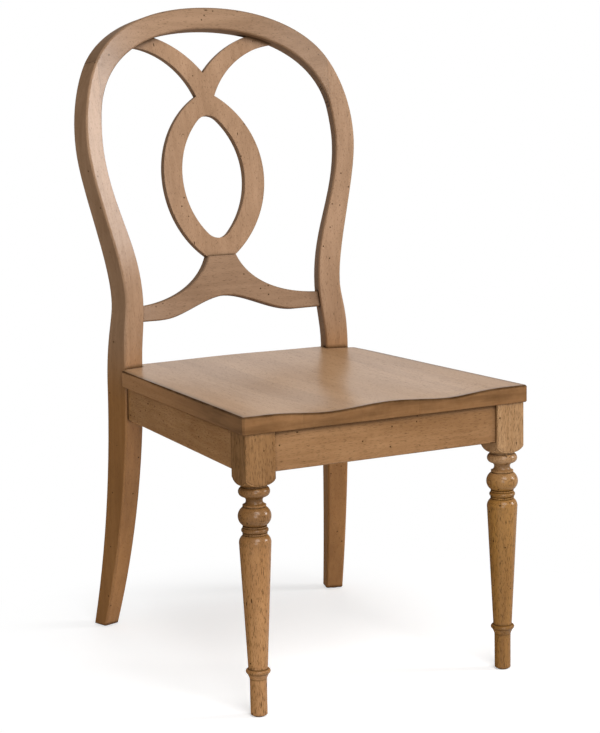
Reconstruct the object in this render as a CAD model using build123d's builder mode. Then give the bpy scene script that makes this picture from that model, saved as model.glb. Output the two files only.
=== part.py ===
"""Side chair with an open balloon back, a saddled board seat and turned front legs.

Millimetres. +Z is up, the chair faces -Y, and X runs across it. The origin is on the floor under
the middle of the chair's width and depth.
"""

import os
from math import asin, atan, cos, degrees, radians, sin, sqrt, tan

from build123d import *

# Seat
seat_height = 470.0  # top of the seat at its corners
seat_thickness = 27.5
seat_front_half = 254.0  # half the width along the front edge
seat_side_length = 514.5  # from the front edge to the outer front corner of a back post
seat_rear_overhang = 11.5  # how far the seat passes that corner sideways
seat_corner_bevel = 3.0  # plan bevel of the front corners
seat_rear_radius = 12.0  # plan radius of the rear corners
seat_tail = 38.5  # rear edge behind the post corner, beside the posts
seat_tail_inset = 24.0  # the rear edge starts this far inside the line of the post corners
seat_tail_bow = 10.5  # the rear edge bulges by this at the middle
seat_edge_bevel = 2.4
seat_under_bevel = 1.2
seat_board_names = ["far_left", "left", "centre", "right", "far_right"]
saddle_rim = 210.0  # half width of the hollowed part
scoop_offset = 112.0  # middle of each thigh scoop from the centre line
# Stations of the saddle: part of the side length, depth of the scoops, depth at the centre line
saddle_stations = [(-0.06, 6.0, 0.8), (0.25, 7.5, 3.8), (0.55, 7.2, 6.8), (0.85, 3.5, 3.6), (1.2, 0.4, 0.4)]

# Back posts, in their own width (outward) and depth (rearward)
post_half_stance = 218.3  # outer front corner of a post from the centre line, at the seat
post_turn = 17.0  # the posts are turned to look at the sitter
post_width = 40.0  # at the seat
post_depth = 52.0  # at the seat
post_foot_width = 29.0
post_foot_depth = 31.0
post_kick_radius = 1430.0  # rearward sweep of the lower part, in side view
post_bend_radius = 1270.0  # bend above the seat, in side view
back_rake = 9.43  # lean of the straight upper part, along the post's own depth
post_neck_depth = 46.3  # back edge from the front corner at the post's slimmest, in side view
post_neck_rise = 80.0  # above the seat
post_neck_handle = 60.0
post_hoop_rise = 250.0  # from here up the post keeps the crest's depth
post_hoop_handle = 90.0
post_taper_handle = 160.0
post_edge_bevel = 2.5
post_foot_bevel = 1.2

# Outlines of the back. Rises are measured up the raked face from the level where it leaves the posts' front
waist_rise = 20.0
waist_outer = -11.6  # outer edge at the waist, from the line of the post's outer face
waist_inner = -51.1
waist_lower_handle = 80.0
waist_upper_handle = 35.0
waist_inner_handle = 50.0
bulge_rise = 272.0
bulge_outer = 26.8
bulge_inner = -7.2
bulge_outer_handle = 70.0
bulge_inner_handle = 98.0
shoulder_handle = 60.0
shoulder_seam_handle = 45.0
shoulder_inner_handle = 18.0
seam_half = 221.0  # the crest meets the posts here
seam_outer_lift = 521.5  # above the seat
seam_inner_lift = 432.0
crest_top_rise = 511.8
crest_band = 37.6  # height of the crest at its middle
crest_depth = 37.0
crest_outer_reach = 110.0
crest_outer_drop = 60.0
crest_inner_reach = 110.0
crest_inner_drop = 95.0
crest_outer_lean = 34.0  # degrees from upright of the outer edge at the seam
crest_inner_lean = 8.6

# Splat
splat_setback = 20.0  # behind the crest's front face
splat_thickness = 13.0
oval_rise = 216.0
oval_half = 97.4
oval_inner_half = 60.6
oval_inner_bottom = 98.0
oval_inner_top = 332.5
oval_tip_radius = 28.0
notch_half = 17.8
notch_rise = 358.5
crotch_rise = 399.6
arm_under_mid = (53.6, 408.6)
arm_under_end = (145.0, 446.5)
arm_over_mid = (55.2, 446.8)
arm_over_end = (105.0, 466.5)

# Lower back rail
rail_setback = 15.0
rail_thickness = 21.0
pedestal_rise = 75.0
pedestal_half = 27.5
pedestal_lean = 21.7  # degrees from upright of its flanks at the top
pedestal_handle = 52.0
rail_top_handle = 64.0
rail_top_rise = -3.0
rail_bottom_rise = -30.0
rail_crown_rise = 4.4
rail_crown_half = 132.0
rail_crown_handle = 44.0
rail_half = 172.0  # where the rail meets the posts
rail_overrun = 14.0  # run into the posts before the ends are cut to them
rail_edge_bevel = 1.8

# Front legs, from the block down: lengths along the axis and diameters
leg_half_stance = 223.5
leg_setback = 28.7  # leg axis behind the seat's front edge
leg_block = 50.0  # square
leg_block_length = 81.5
leg_block_shoulder = 12.0  # length over which the square is turned away
leg_block_easing = 1.5
leg_neck_diameter = 39.0
top_bead_length = 17.5
top_bead_diameter = 48.5
top_bead_foot_diameter = 38.0
cove_length = 13.0
cove_diameter = 25.6
bulb_top_diameter = 36.0
bulb_length = 33.5
bulb_diameter = 51.0
bulb_bottom_diameter = 34.0
small_bead_length = 10.0
small_bead_diameter = 42.0
cup_top_diameter = 35.0
cup_length = 17.0
cup_shoulder_diameter = 45.5
cup_diameter = 49.0
taper_diameter = 30.0
ankle_ring_length = 15.5
ankle_ring_diameter = 38.0
ankle_diameter = 28.0
foot_length = 57.0
foot_diameter = 26.0
foot_easing = 2.5
bead_flats = 4  # the turning's rounds are drawn as short flats
bulb_flats = 6
cup_flats = 3
shoulder_flats = 2

# Aprons
apron_height = 61.5
apron_thickness = 22.0
apron_easing = 1.5
apron_setback = 4.5  # behind the faces of the leg blocks
side_apron_setback = 3.5
apron_overrun = 8.0  # run into legs and posts before the ends are cut to them
rear_apron_setback = 20.0  # behind the posts' front corners

# Joints: tenons of the aprons and rails, loose tenons of the crest
tenon_length = 18.0
tenon_thickness = 10.0
tenon_shoulder = 8.0  # apron above and below its tenon
rail_tenon_length = 14.0
rail_tenon_thickness = 9.0
rail_tenon_shoulder = 4.5
foot_tenon_length = 14.0
foot_tenon_width = 36.0
thin_tenon_thickness = 6.0
arm_tenon_length = 9.0
arm_tenon_width = 8.0
arm_joint_place = (112.0, 453.0)
crest_tenon_length = 10.0  # into each piece
crest_tenon_width = 20.0
crest_tenon_thickness = 10.0
crest_tenon_station = 0.48  # share of the seam's length
joint_clearance = 0.1
joint_end_gap = 0.8

# Corner blocks
corner_block_near = 54.0
corner_block_far = 108.0
corner_block_height = 32.0

# Glides
glide_thickness = 2.0
glide_diameter = 18.0

notch_clearance = 0.3  # round the posts

# Directions of the right back post and of the raked, bowed back
turn = radians(post_turn)
rake = radians(back_rake)
outward = Vector(cos(turn), -sin(turn), 0)
rearward = Vector(sin(turn), cos(turn), 0)
across = Vector(1, 0, 0)
upward = Vector(0, 0, 1)
centre_rake = atan(tan(rake) / cos(turn))
up_rake = Vector(0, sin(centre_rake), cos(centre_rake))
behind = Vector(0, cos(centre_rake), -sin(centre_rake))
seam_angle = asin(sin(turn) * cos(rake))
bow_radius = seam_half / sin(seam_angle)
bow_sag = bow_radius * (1 - cos(seam_angle))
chord_radius = bow_radius * cos(seam_angle)

# Levels and depths
seat_underside = seat_height - seat_thickness
apron_bottom = seat_underside - apron_height
post_neck_height = seat_height + post_neck_rise
seam_outer_height = seat_height + seam_outer_lift
seam_inner_height = seat_height + seam_inner_lift
rake_start = seat_height + post_bend_radius * tan(rake / 2)
bow_from_corner = bow_sag / cos(centre_rake) - (seam_half - post_half_stance) * tan(turn)
back_reach = bow_from_corner + crest_depth * cos(centre_rake) + crest_top_rise * sin(centre_rake)
seat_front_y = -(seat_side_length + back_reach) / 2
post_corner_y = seat_front_y + seat_side_length
post_corner = Vector(post_half_stance, post_corner_y, 0)
leg_y = seat_front_y + leg_setback
bow_front = Vector(0, post_corner_y + bow_from_corner, rake_start)
bow_axis = bow_front - behind * bow_radius


def bow_normal(angle: float) -> Vector:
    """Rearward direction of the bowed back at an angle from its middle."""
    return across * sin(angle) + behind * cos(angle)


def bow_tangent(angle: float) -> Vector:
    """Sideways direction of the bowed back at an angle from its middle."""
    return across * cos(angle) - behind * sin(angle)


def bow_point(angle: float, depth: float, rise: float) -> Vector:
    """Point of the back at an angle from its middle, behind its front face and up its rake."""
    return bow_axis + bow_normal(angle) * (bow_radius + depth) + up_rake * rise


def mirrored(planes: list) -> list:
    """Joint planes of the right side followed by their images on the left side."""
    flip = Vector(-1, 1, 1)
    images = []
    for plane in planes:
        origin = Vector(*(a * b for a, b in zip(plane.origin, flip)))
        sideways = Vector(*(a * b for a, b in zip(plane.x_dir, flip)))
        direction = Vector(*(a * b for a, b in zip(plane.z_dir, flip)))
        images.append(Plane(origin=origin, x_dir=sideways, z_dir=direction))
    return planes + images


# Drawing planes
side_plane = Plane(origin=post_corner, x_dir=rearward, z_dir=outward)
post_face_normal = rearward * -cos(rake) + upward * sin(rake)
post_face = Plane(origin=post_corner + upward * rake_start, x_dir=outward, z_dir=post_face_normal)
post_plan = Plane(origin=post_corner, x_dir=outward, z_dir=upward)
back_plane = Plane(origin=bow_front, x_dir=across, z_dir=behind * -1)
bow_section = Plane(origin=bow_axis, x_dir=across, z_dir=up_rake)
leg_plane = Plane(origin=(leg_half_stance, leg_y, 0))
leg_profile = Plane(origin=(leg_half_stance, leg_y, 0), x_dir=(1, 0, 0), z_dir=(0, -1, 0))
leg_axis = Axis((leg_half_stance, leg_y, 0), (0, 0, 1))

# Ends of the crest seam, on the crest's drawing plane and on the post's face
crest_seam_outer = (seam_outer_height - rake_start - bow_sag * sin(centre_rake)) / cos(centre_rake)
crest_seam_inner = (seam_inner_height - rake_start - bow_sag * sin(centre_rake)) / cos(centre_rake)
post_seam_outer = (seam_outer_height - rake_start) / cos(rake)
post_seam_inner = (seam_inner_height - rake_start) / cos(rake)
seam_tilt = asin(sin(turn) * sin(centre_rake))


def seam_offset(rise: float) -> float:
    """Outward place of the crest seam on the post's face."""
    return (seam_half - post_half_stance - rise * sin(rake) * sin(turn)) / cos(turn)


def seam_direction(lean: float) -> Vector:
    """Downward direction of a crest edge at the seam, seen on the post's face."""
    sideways = sin(radians(lean)) * cos(seam_angle)
    down = cos(radians(lean))
    return Vector(
        sideways * cos(seam_tilt) + down * sin(seam_tilt),
        sideways * sin(seam_tilt) - down * cos(seam_tilt),
    )


post_seam_out = Vector(seam_offset(post_seam_outer), post_seam_outer)
post_seam_in = Vector(seam_offset(post_seam_inner), post_seam_inner)
post_seat_rise = (seat_height - rake_start) * cos(rake)
post_low_rise = -rake_start - post_depth

kick_angle = asin((seat_height - glide_thickness) / post_kick_radius)
foot_front = post_kick_radius * (1 - cos(kick_angle))

# Lines of the right side apron: outer face from the leg block to the post's front face
block_inner_x = leg_half_stance - leg_block / 2
block_back_y = leg_y + leg_block / 2
side_apron_start = Vector(leg_half_stance + leg_block / 2 - side_apron_setback, block_back_y)
side_apron_end = Vector(post_corner.X, post_corner.Y) - outward * side_apron_setback
side_apron_length = (side_apron_end - side_apron_start).length
along_side = (side_apron_end - side_apron_start).normalized()
inward_side = Vector(-along_side.Y, along_side.X)
side_inner_start = side_apron_start + inward_side * apron_thickness
front_apron_y = leg_y - leg_block / 2 + apron_setback
front_inner_y = front_apron_y + apron_thickness
rear_inner_y = post_corner_y + rear_apron_setback
apron_middle = apron_bottom + apron_height / 2
side_apron_plane = Plane(
    origin=side_apron_start + upward * apron_bottom, x_dir=along_side, z_dir=upward
)

# Joint planes on the right side: each lies on the seam, with its normal along the tenon
crest_joint_rise = crest_seam_inner + crest_tenon_station * (crest_seam_outer - crest_seam_inner)
crest_joint = Plane(
    origin=bow_point(seam_angle, crest_depth / 2, crest_joint_rise),
    x_dir=up_rake,
    z_dir=bow_tangent(seam_angle),
)
splat_middle = splat_setback + splat_thickness / 2
arm_angle = asin(arm_joint_place[0] / (bow_radius + splat_middle))
arm_joint = Plane(
    origin=bow_point(arm_angle, splat_middle, arm_joint_place[1]),
    x_dir=up_rake - bow_tangent(arm_angle),
    z_dir=up_rake + bow_tangent(arm_angle),
)
foot_joint = Plane(origin=bow_point(0, splat_middle, pedestal_rise), x_dir=across, z_dir=up_rake)
rail_middle = rail_setback + rail_thickness / 2
rail_angle = asin(rail_half / (bow_radius + rail_middle))
rail_joint = Plane(
    origin=bow_point(rail_angle, rail_middle, (rail_top_rise + rail_bottom_rise) / 2),
    x_dir=up_rake,
    z_dir=bow_tangent(rail_angle),
)
front_joint = Plane(
    origin=(block_inner_x, front_apron_y + apron_thickness / 2, apron_middle), x_dir=upward, z_dir=across
)
side_centre = inward_side * apron_thickness / 2 + upward * apron_middle
side_front_joint = Plane(origin=side_apron_start + side_centre, x_dir=upward, z_dir=along_side)
side_rear_joint = Plane(origin=side_apron_end + side_centre, x_dir=upward, z_dir=along_side)
rear_middle_depth = (rear_apron_setback + apron_thickness / 2 - post_width * sin(turn)) / cos(turn)
rear_joint_foot = post_corner - outward * post_width + rearward * rear_middle_depth
rear_joint = Plane(origin=rear_joint_foot + upward * apron_middle, x_dir=upward, z_dir=across)

# Tenons are drawn across their seams; mortises are the same blocks with their clearance
apron_tenon = Vector(apron_height - tenon_shoulder * 2, tenon_thickness, tenon_length * 2)
rail_end_height = rail_top_rise - rail_bottom_rise
rail_tenon = Vector(rail_end_height - rail_tenon_shoulder * 2, rail_tenon_thickness, rail_tenon_length * 2)
foot_tenon = Vector(foot_tenon_width, thin_tenon_thickness, foot_tenon_length * 2)
arm_tenon = Vector(arm_tenon_width, thin_tenon_thickness, arm_tenon_length * 2)
crest_tenon = Vector(crest_tenon_width, crest_tenon_thickness, crest_tenon_length * 2)
mortise_margin = Vector(joint_clearance * 2, joint_clearance * 2, joint_end_gap * 2)

# Corner blocks bridge the inner faces of two aprons at the front and at the rear
corner_frames = []
for level_y, run in ((front_inner_y, along_side), (rear_inner_y, along_side * -1)):
    reach = (level_y - side_inner_start.Y) / along_side.Y
    corner_frames.append((side_inner_start + along_side * reach, run))

foot_centre = Vector(-post_foot_width / 2, foot_front + post_foot_depth / 2)
post_glide = Plane(origin=post_corner + outward * foot_centre.X + rearward * foot_centre.Y)

# Right back post
hoop_back = Vector(crest_depth * cos(rake), -crest_depth * sin(rake))
rake_line = Vector(sin(rake), cos(rake))
bend_end = Vector(post_bend_radius * (1 - cos(rake)), seat_height + post_bend_radius * sin(rake))
hoop_start = Vector(0, rake_start) + rake_line * post_hoop_rise
post_tip = bend_end + rake_line * crest_top_rise

with BuildPart() as post_blank:
    with BuildSketch(side_plane.offset(-post_width * 2)):
        with BuildLine():
            l1 = JernArc((0, seat_height), (0, -1), post_kick_radius, degrees(kick_angle))
            l2 = Line(l1 @ 1, (foot_front + post_foot_depth, glide_thickness))
            l3 = TangentArc((post_depth, seat_underside), l2 @ 1, tangent=(0, -1))
            l4 = Bezier(
                (post_depth, seat_underside),
                (post_depth, seat_height),
                (post_neck_depth, post_neck_height - seat_thickness),
                (post_neck_depth, post_neck_height),
            )
            l5 = Bezier(
                l4 @ 1,
                (post_neck_depth, post_neck_height + post_neck_handle),
                hoop_start + hoop_back - rake_line * post_hoop_handle,
                hoop_start + hoop_back,
            )
            l6 = Line(l5 @ 1, post_tip + hoop_back)
            l7 = Line(l6 @ 1, post_tip)
            l8 = Line(l7 @ 1, bend_end)
            l9 = JernArc((0, seat_height), (0, 1), post_bend_radius, -back_rake)
        make_face()
    extrude(amount=post_width * 4)
    with BuildSketch(post_face.offset(-post_depth * 4)):
        with BuildLine():
            o1 = Line((0, post_low_rise), (0, post_seat_rise))
            o2 = Bezier(
                o1 @ 1,
                (0, post_seat_rise + waist_lower_handle),
                (waist_outer, waist_rise - waist_upper_handle),
                (waist_outer, waist_rise),
            )
            o3 = Bezier(
                o2 @ 1,
                (waist_outer, waist_rise + bulge_outer_handle),
                (bulge_outer, bulge_rise - bulge_outer_handle),
                (bulge_outer, bulge_rise),
            )
            o4 = Bezier(
                o3 @ 1,
                (bulge_outer, bulge_rise + shoulder_handle),
                post_seam_out + seam_direction(crest_outer_lean) * shoulder_seam_handle,
                post_seam_out,
            )
            o5 = Line(post_seam_out, post_seam_in)
            o6 = Bezier(
                post_seam_in,
                post_seam_in + seam_direction(crest_inner_lean) * shoulder_inner_handle,
                (bulge_inner, bulge_rise + shoulder_inner_handle),
                (bulge_inner, bulge_rise),
            )
            o7 = Bezier(
                o6 @ 1,
                (bulge_inner, bulge_rise - bulge_inner_handle),
                (waist_inner, waist_rise + bulge_inner_handle),
                (waist_inner, waist_rise),
            )
            o8 = Bezier(
                o7 @ 1,
                (waist_inner, waist_rise - waist_inner_handle),
                (-post_width, post_seat_rise + waist_inner_handle),
                (-post_width, post_seat_rise),
            )
            o9 = Bezier(
                o8 @ 1,
                (-post_width, post_seat_rise - post_taper_handle),
                (-post_foot_width, post_low_rise),
            )
            o10 = Line(o9 @ 1, o1 @ 0)
        make_face()
    extrude(amount=post_depth * 6, mode=Mode.INTERSECT)
    seam_edges = post_blank.faces().sort_by(Axis.Z)[-1].edges()
    upright_edges = post_blank.edges().filter_by(lambda edge: abs((edge % 0.5).Z) > 0.5)
    chamfer(upright_edges - seam_edges, post_edge_bevel)
    chamfer(post_blank.faces().sort_by(Axis.Z)[0].edges(), post_foot_bevel)

with BuildPart() as both_post_blanks:
    add(post_blank.part)
    mirror(post_blank.part, about=Plane.YZ)

with BuildPart() as right_back_post:
    add(post_blank.part)
    with Locations(crest_joint):
        Box(*(crest_tenon + mortise_margin), mode=Mode.SUBTRACT)
    with Locations(rail_joint):
        Box(*(rail_tenon + mortise_margin), mode=Mode.SUBTRACT)
    with Locations(side_rear_joint, rear_joint):
        Box(*(apron_tenon + mortise_margin), mode=Mode.SUBTRACT)

with BuildPart() as left_back_post:
    mirror(right_back_post.part, about=Plane.YZ)

# Crest arch: its edges point at the axis of the bow, so that its ends lie on the posts' seams
with BuildPart() as crest_blank:
    for depth in (-bow_sag - crest_depth, crest_depth * 2):
        spread = (bow_radius + depth) / chord_radius
        with BuildSketch(back_plane.offset(-depth)):
            with BuildLine():
                c1 = Bezier(
                    (0, crest_top_rise),
                    (crest_outer_reach * spread, crest_top_rise),
                    (
                        (seam_half - crest_outer_drop * sin(radians(crest_outer_lean))) * spread,
                        crest_seam_outer + crest_outer_drop * cos(radians(crest_outer_lean)),
                    ),
                    (seam_half * spread, crest_seam_outer),
                )
                c2 = Line(c1 @ 1, (seam_half * spread, crest_seam_inner))
                c3 = Bezier(
                    c2 @ 1,
                    (
                        (seam_half - crest_inner_drop * sin(radians(crest_inner_lean))) * spread,
                        crest_seam_inner + crest_inner_drop * cos(radians(crest_inner_lean)),
                    ),
                    (crest_inner_reach * spread, crest_top_rise - crest_band),
                    (0, crest_top_rise - crest_band),
                )
                mirror(about=Plane.YZ)
            make_face()
    loft(ruled=True)
    with BuildSketch(bow_section.offset(crest_seam_inner - crest_depth)):
        Circle(bow_radius + crest_depth)
        Circle(bow_radius, mode=Mode.SUBTRACT)
        Rectangle(seam_half * 3, bow_radius * 3, align=(Align.CENTER, Align.MIN), mode=Mode.INTERSECT)
    extrude(amount=crest_top_rise - crest_seam_inner + crest_depth * 2, mode=Mode.INTERSECT)
    bowed_faces = crest_blank.faces().filter_by(GeomType.CYLINDER)
    seam_faces = crest_blank.faces().filter_by(GeomType.PLANE)
    chamfer(bowed_faces.edges() - seam_faces.edges(), post_edge_bevel)

with BuildPart() as crest_arch:
    add(crest_blank.part)
    with Locations(*mirrored([arm_joint])):
        Box(*(arm_tenon + mortise_margin), mode=Mode.SUBTRACT)
    with Locations(*mirrored([crest_joint])):
        Box(*(crest_tenon + mortise_margin), mode=Mode.SUBTRACT)

# Splat: an oval ring with two arms, cut from a bowed board
with BuildPart() as back_splat:
    with BuildSketch(bow_section.offset(pedestal_rise)):
        Circle(bow_radius + splat_setback + splat_thickness)
        Circle(bow_radius + splat_setback, mode=Mode.SUBTRACT)
        Rectangle(seam_half * 3, bow_radius * 3, align=(Align.CENTER, Align.MIN), mode=Mode.INTERSECT)
    extrude(amount=crest_top_rise)
    with BuildSketch(back_plane.offset(-crest_depth * 2)):
        with BuildLine():
            s1 = Line((0, pedestal_rise), (pedestal_half, pedestal_rise))
            s2 = TangentArc((oval_half, oval_rise), s1 @ 1, tangent=(0, -1))
            s3 = TangentArc((oval_half, oval_rise), (notch_half, notch_rise), tangent=(0, 1))
            s4 = ThreePointArc(s3 @ 1, arm_under_mid, arm_under_end)
            s5 = Line(arm_under_end, arm_over_end)
            s6 = ThreePointArc(arm_over_end, arm_over_mid, (0, crotch_rise))
            mirror(about=Plane.YZ)
        make_face()
    extrude(amount=crest_depth * 4, mode=Mode.INTERSECT)
    with BuildSketch(back_plane.offset(-crest_depth * 2)) as oval:
        with BuildLine():
            TangentArc((oval_inner_half, oval_rise), (0, oval_inner_top), tangent=(0, 1))
            TangentArc((oval_inner_half, oval_rise), (0, oval_inner_bottom), tangent=(0, -1))
            mirror(about=Plane.YZ)
        make_face()
        fillet([oval.vertices().sort_by(Axis.Y)[0], oval.vertices().sort_by(Axis.Y)[-1]], oval_tip_radius)
    extrude(amount=crest_depth * 4, mode=Mode.SUBTRACT)
    add(crest_blank.part, mode=Mode.SUBTRACT)
    with Locations(foot_joint):
        Box(*foot_tenon)
    with Locations(*mirrored([arm_joint])):
        Box(*arm_tenon)

# Lower back rail with the pedestal that carries the splat
with BuildPart() as lower_back_rail:
    with BuildSketch(bow_section.offset(rail_bottom_rise * 2)):
        Circle(bow_radius + rail_setback + rail_thickness)
        Circle(bow_radius + rail_setback, mode=Mode.SUBTRACT)
        Rectangle(seam_half * 3, bow_radius * 3, align=(Align.CENTER, Align.MIN), mode=Mode.INTERSECT)
    extrude(amount=pedestal_rise - rail_bottom_rise * 4)
    with BuildSketch(back_plane.offset(-crest_depth * 2)):
        with BuildLine():
            r1 = Line((0, pedestal_rise), (pedestal_half, pedestal_rise))
            r2 = Bezier(
                r1 @ 1,
                (
                    pedestal_half + pedestal_handle * sin(radians(pedestal_lean)),
                    pedestal_rise - pedestal_handle * cos(radians(pedestal_lean)),
                ),
                (rail_half - rail_top_handle, rail_top_rise),
                (rail_half + rail_overrun, rail_top_rise),
            )
            r3 = Line(r2 @ 1, (rail_half + rail_overrun, rail_bottom_rise))
            r4 = Line(r3 @ 1, (rail_crown_half, rail_bottom_rise))
            r5 = Bezier(
                r4 @ 1,
                (rail_crown_half - rail_crown_handle, rail_bottom_rise),
                (rail_crown_handle, rail_crown_rise),
                (0, rail_crown_rise),
            )
            mirror(about=Plane.YZ)
        make_face()
    extrude(amount=crest_depth * 4, mode=Mode.INTERSECT)
    bowed_faces = lower_back_rail.faces().filter_by(GeomType.CYLINDER)
    pedestal_face = lower_back_rail.faces().sort_by(Axis.Z)[-1]
    end_faces = lower_back_rail.faces().filter_by(Axis.X)
    chamfer(bowed_faces.edges() - pedestal_face.edges() - end_faces.edges(), rail_edge_bevel)
    add(both_post_blanks.part, mode=Mode.SUBTRACT)
    with Locations(*mirrored([rail_joint])):
        Box(*rail_tenon)
    with Locations(foot_joint):
        Box(*(foot_tenon + mortise_margin), mode=Mode.SUBTRACT)

# Turned front legs under square blocks
leg_block_corner = leg_block / sqrt(2)
block_bottom = seat_underside - leg_block_length
top_bead_bottom = block_bottom - top_bead_length
cove_bottom = top_bead_bottom - cove_length
bulb_bottom = cove_bottom - bulb_length
small_bead_bottom = bulb_bottom - small_bead_length
cup_bottom = small_bead_bottom - cup_length
ankle_ring_bottom = glide_thickness + foot_length
taper_bottom = ankle_ring_bottom + ankle_ring_length


def turned_round(start: Vector, diameter: float, end: tuple, flats: int) -> Polyline:
    """Round stretch of the turning with a diameter at its middle, as short flats along its arc."""
    middle = (diameter / 2, (start.Y + end[1]) / 2)
    arc = ThreePointArc(start, middle, end, mode=Mode.PRIVATE)
    return Polyline(*(arc @ (place / flats) for place in range(flats + 1)))


with BuildPart() as right_front_leg:
    with BuildSketch(leg_plane.offset(block_bottom)):
        RectangleRounded(leg_block, leg_block, leg_block_easing)
    extrude(amount=leg_block_length)
    with BuildSketch(leg_profile):
        with BuildLine():
            b1 = Line((0, block_bottom), (leg_neck_diameter / 2, block_bottom))
            b2 = turned_round(
                b1 @ 1,
                leg_neck_diameter / 4 + leg_block_corner * 1.5,
                (leg_block_corner, block_bottom + leg_block_shoulder),
                shoulder_flats,
            )
            b3 = Polyline(b2 @ 1, (leg_block_corner, seat_height), (0, seat_height), b1 @ 0)
        make_face()
    revolve(axis=leg_axis, mode=Mode.INTERSECT)
    with BuildSketch(leg_profile):
        with BuildLine():
            t1 = Line((0, glide_thickness), (foot_diameter / 2 - foot_easing, glide_thickness))
            t2 = Line(t1 @ 1, (foot_diameter / 2, glide_thickness + foot_easing))
            t3 = Line(t2 @ 1, (ankle_diameter / 2, ankle_ring_bottom))
            t4 = turned_round(t3 @ 1, ankle_ring_diameter, (taper_diameter / 2, taper_bottom), bead_flats)
            t5 = Line(t4 @ 1, (cup_diameter / 2, cup_bottom))
            t6 = turned_round(t5 @ 1, cup_shoulder_diameter, (cup_top_diameter / 2, small_bead_bottom), cup_flats)
            t7 = turned_round(t6 @ 1, small_bead_diameter, (bulb_bottom_diameter / 2, bulb_bottom), bead_flats)
            t8 = turned_round(t7 @ 1, bulb_diameter, (bulb_top_diameter / 2, cove_bottom), bulb_flats)
            t9 = turned_round(t8 @ 1, cove_diameter, (top_bead_foot_diameter / 2, top_bead_bottom), bead_flats)
            t10 = turned_round(t9 @ 1, top_bead_diameter, (leg_neck_diameter / 2, block_bottom), bead_flats)
            t11 = Polyline(t10 @ 1, (0, block_bottom), (0, glide_thickness))
        make_face()
    revolve(axis=leg_axis)
    with Locations(front_joint, side_front_joint):
        Box(*(apron_tenon + mortise_margin), mode=Mode.SUBTRACT)

with BuildPart() as left_front_leg:
    mirror(right_front_leg.part, about=Plane.YZ)

# Aprons, their ends cut to the legs and posts they meet
with BuildPart() as front_apron:
    with BuildSketch(Plane.XY.offset(apron_bottom)):
        with Locations((0, front_apron_y + apron_thickness / 2)):
            Rectangle(block_inner_x * 2, apron_thickness)
    extrude(amount=apron_height)
    chamfer(front_apron.faces().sort_by(Axis.Z)[0].edges().filter_by(Axis.X), apron_easing)
    with Locations(*mirrored([front_joint])):
        Box(*apron_tenon)

with BuildPart() as right_apron:
    with BuildSketch(side_apron_plane):
        with Locations((side_apron_length / 2, apron_thickness / 2)):
            Rectangle(side_apron_length + apron_overrun * 2, apron_thickness)
    extrude(amount=apron_height)
    low_edges = right_apron.faces().sort_by(Axis.Z)[0].edges().sort_by(SortBy.LENGTH)[-2:]
    chamfer(low_edges, apron_easing)
    split(bisect_by=Plane(origin=(0, block_back_y, 0), z_dir=(0, 1, 0)))
    add(post_blank.part, mode=Mode.SUBTRACT)
    with Locations(side_front_joint, side_rear_joint):
        Box(*apron_tenon)

with BuildPart() as left_apron:
    mirror(right_apron.part, about=Plane.YZ)

with BuildPart() as rear_apron:
    with BuildSketch(Plane.XY.offset(apron_bottom)):
        with Locations((0, rear_inner_y + apron_thickness / 2)):
            Rectangle(post_half_stance * 2 - post_width, apron_thickness)
    extrude(amount=apron_height)
    chamfer(rear_apron.faces().sort_by(Axis.Z)[0].edges().filter_by(Axis.X), apron_easing)
    add(both_post_blanks.part, mode=Mode.SUBTRACT)
    with Locations(*mirrored([rear_joint])):
        Box(*apron_tenon)

# Corner blocks inside the seat frame
corner_blocks = []
for corner, run in corner_frames:
    with BuildPart() as corner_block:
        with BuildSketch(Plane.XY.offset(seat_underside - corner_block_height)):
            with BuildLine():
                Polyline(
                    corner - across * corner_block_near,
                    corner - across * corner_block_far,
                    corner + run * corner_block_far,
                    corner + run * corner_block_near,
                    close=True,
                )
            make_face()
        extrude(amount=corner_block_height)
    corner_blocks.append(corner_block.part)

# Seat: a hollowed slab, notched round the posts, then sawn into its boards
rear_corner = Vector(post_corner.X, post_corner.Y) + outward * seat_rear_overhang
tail_end = Vector(post_half_stance - seat_tail_inset, post_corner_y + seat_tail)
with BuildPart() as post_notches:
    with BuildSketch(post_plan.offset(seat_underside - seat_thickness)):
        with Locations((-post_width - notch_clearance, -notch_clearance)):
            Rectangle(post_width * 2, post_depth * 2, align=Align.MIN)
    extrude(amount=seat_thickness * 3)
    mirror(about=Plane.YZ)

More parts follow.
